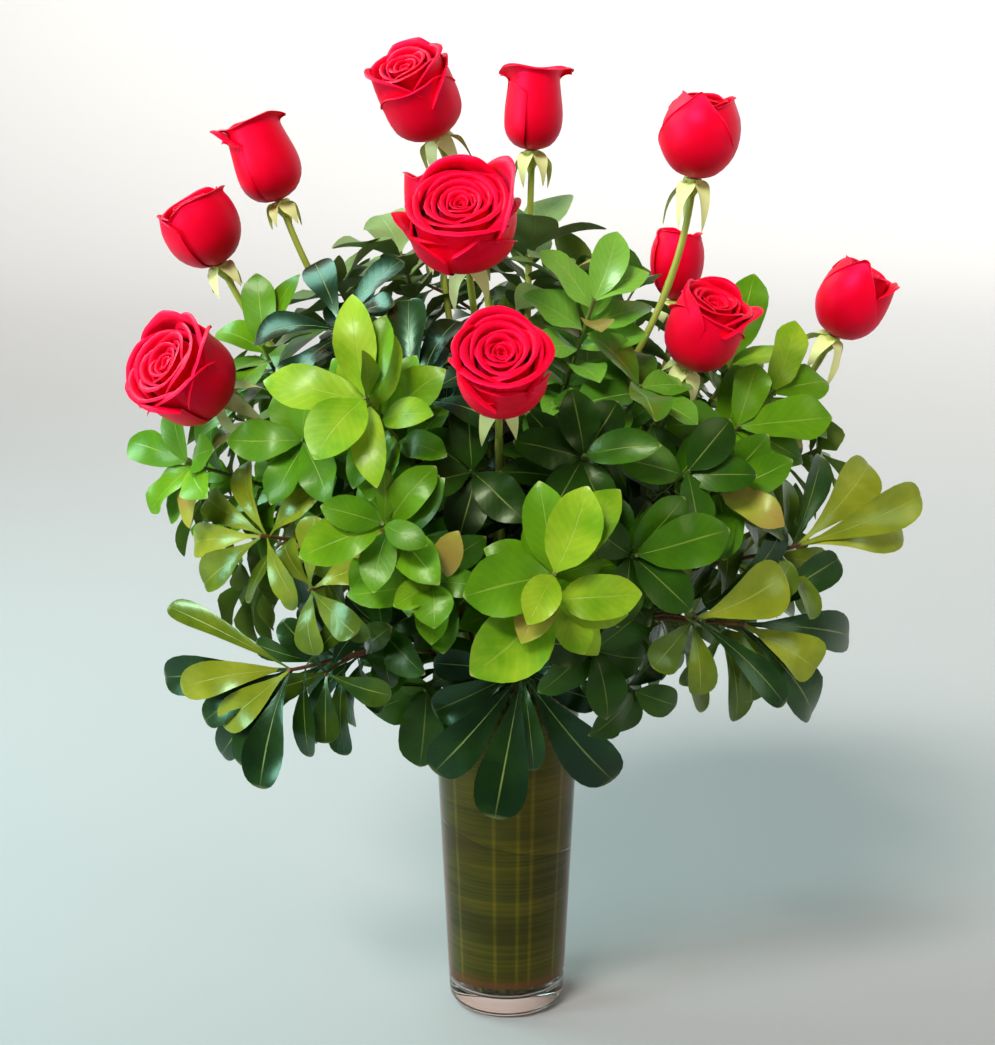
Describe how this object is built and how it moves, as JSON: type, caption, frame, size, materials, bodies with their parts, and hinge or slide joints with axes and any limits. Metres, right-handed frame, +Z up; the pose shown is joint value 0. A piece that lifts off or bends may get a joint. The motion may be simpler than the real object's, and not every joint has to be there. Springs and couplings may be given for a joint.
{
  "type": "roses in a vase",
  "caption": "Bouquet of red roses and glossy mixed greenery standing in a tall tapered clear glass vase lined with wrapped leaves.",
  "frame": {"origin": "centre of the vase's underside, where it stands", "axes": "+Z up along the vase's axis, +X to the right and -Y towards the viewer of the front"},
  "size_m": [0.5348, 0.4529, 0.6876],
  "materials": {
    "glass": "polished",
    "lining_leaf": "satin",
    "water": "polished",
    "petals": "matte",
    "rose_stems": "satin",
    "holly_greens": "satin",
    "pittosporum_greens": "satin"
  },
  "bodies": {
    "root": {"vase_glass": "glass", "lining_leaf_lower": "lining_leaf", "lining_leaf_upper": "lining_leaf", "water": "water", "rose_01_bloom": "petals", "rose_02_bloom": "petals", "rose_03_bloom": "petals", "rose_04_bloom": "petals", "rose_05_bloom": "petals", "rose_06_bloom": "petals", "rose_07_bloom": "petals", "rose_08_bloom": "petals", "rose_09_bloom": "petals", "rose_10_bloom": "petals", "rose_11_bloom": "petals", "rose_12_bloom": "petals", "rose_01_stem": "rose_stems", "rose_02_stem": "rose_stems", "rose_03_stem": "rose_stems", "rose_04_stem": "rose_stems", "rose_05_stem": "rose_stems", "rose_06_stem": "rose_stems", "rose_07_stem": "rose_stems", "rose_08_stem": "rose_stems", "rose_09_stem": "rose_stems", "rose_10_stem": "rose_stems", "rose_11_stem": "rose_stems", "rose_12_stem": "rose_stems", "holly_spray_01": "holly_greens", "holly_spray_02": "holly_greens", "holly_spray_03": "holly_greens", "holly_spray_04": "holly_greens", "holly_spray_05": "holly_greens", "holly_spray_06": "holly_greens", "holly_spray_07": "holly_greens", "holly_spray_08": "holly_greens", "holly_spray_09": "holly_greens", "holly_spray_10": "holly_greens", "holly_spray_11": "holly_greens", "holly_spray_12": "holly_greens", "holly_spray_13": "holly_greens", "holly_spray_14": "holly_greens", "holly_spray_15": "holly_greens", "holly_spray_16": "holly_greens", "holly_spray_17": "holly_greens", "holly_spray_18": "holly_greens", "holly_spray_19": "holly_greens", "holly_spray_20": "holly_greens", "holly_spray_21": "holly_greens", "holly_spray_22": "holly_greens", "pittosporum_spray_01": "pittosporum_greens", "pittosporum_spray_02": "pittosporum_greens", "pittosporum_spray_03": "pittosporum_greens", "pittosporum_spray_04": "pittosporum_greens", "pittosporum_spray_05": "pittosporum_greens", "pittosporum_spray_06": "pittosporum_greens", "pittosporum_spray_07": "pittosporum_greens", "pittosporum_spray_08": "pittosporum_greens", "pittosporum_spray_09": "pittosporum_greens", "pittosporum_spray_10": "pittosporum_greens"}
  },
  "joints": []
}
